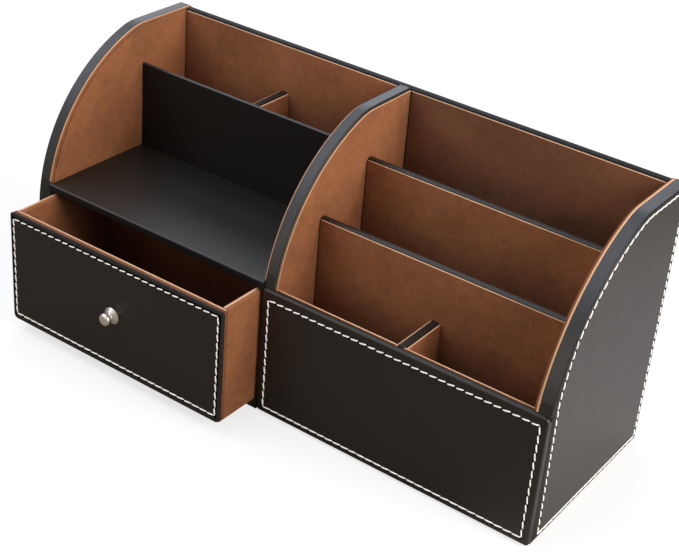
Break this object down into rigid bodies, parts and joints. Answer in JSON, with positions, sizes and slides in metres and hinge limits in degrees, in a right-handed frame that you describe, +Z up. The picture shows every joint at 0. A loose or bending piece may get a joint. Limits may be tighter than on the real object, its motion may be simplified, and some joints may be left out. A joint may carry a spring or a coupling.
{
  "type": "desk organizer with drawer",
  "caption": "Low desk organizer with curved sides: an open shelf over a sliding drawer on one side, stepped upright slots on the other, wrapped in stitched dark leatherette and lined in brown.",
  "frame": {"origin": "on the desk, under the middle of the case's footprint, on the felt's lower face", "axes": "+X to the right along the case's width, +Y to the back, +Z up; the drawer opens along -Y"},
  "size_m": [0.34, 0.1576, 0.16],
  "materials": {
    "black_leatherette": "fine grained leatherette, satin",
    "brown_suede_lining": "short suede nap, matt",
    "base_felt": "felt",
    "polished_nickel": "polished",
    "steel_screw": "zinc plated"
  },
  "bodies": {
    "case": {"base_felt": "base_felt", "base_board": "black_leatherette", "left_side_panel": "black_leatherette", "right_side_panel": "black_leatherette", "middle_partition": "black_leatherette", "back_panel": "black_leatherette", "front_panel": "black_leatherette", "shelf_board": "black_leatherette", "left_divider": "black_leatherette", "right_front_divider": "black_leatherette", "right_rear_divider": "black_leatherette", "left_cross_divider": "black_leatherette", "right_cross_divider": "black_leatherette", "left_side_lining": "brown_suede_lining", "partition_left_lining": "brown_suede_lining", "partition_right_lining": "brown_suede_lining", "right_side_lining": "brown_suede_lining", "back_left_lining": "brown_suede_lining", "back_right_lining": "brown_suede_lining", "front_lining": "brown_suede_lining", "left_divider_lining": "brown_suede_lining", "right_front_divider_lining": "brown_suede_lining", "right_rear_divider_lining": "brown_suede_lining", "left_cross_left_lining": "brown_suede_lining", "left_cross_right_lining": "brown_suede_lining", "right_cross_left_lining": "brown_suede_lining", "right_cross_right_lining": "brown_suede_lining", "left_slot_left_floor": "brown_suede_lining", "left_slot_right_floor": "brown_suede_lining", "right_slot_left_floor": "brown_suede_lining", "right_slot_right_floor": "brown_suede_lining", "middle_slot_floor": "brown_suede_lining", "rear_slot_floor": "brown_suede_lining"},
    "drawer": {"drawer_facing": "black_leatherette", "drawer_front_wall": "brown_suede_lining", "drawer_left_wall": "brown_suede_lining", "drawer_right_wall": "brown_suede_lining", "drawer_back_wall": "brown_suede_lining", "drawer_bottom": "brown_suede_lining", "drawer_floor_lining": "brown_suede_lining", "knob_rosette": "polished_nickel", "knob": "polished_nickel", "knob_screw": "steel_screw"}
  },
  "joints": [
    {"name": "drawer_slide", "type": "slide", "parent": "case", "child": "drawer", "axis": [0, -1, 0], "range_m": [-0.031, 0.024]}
  ]
}
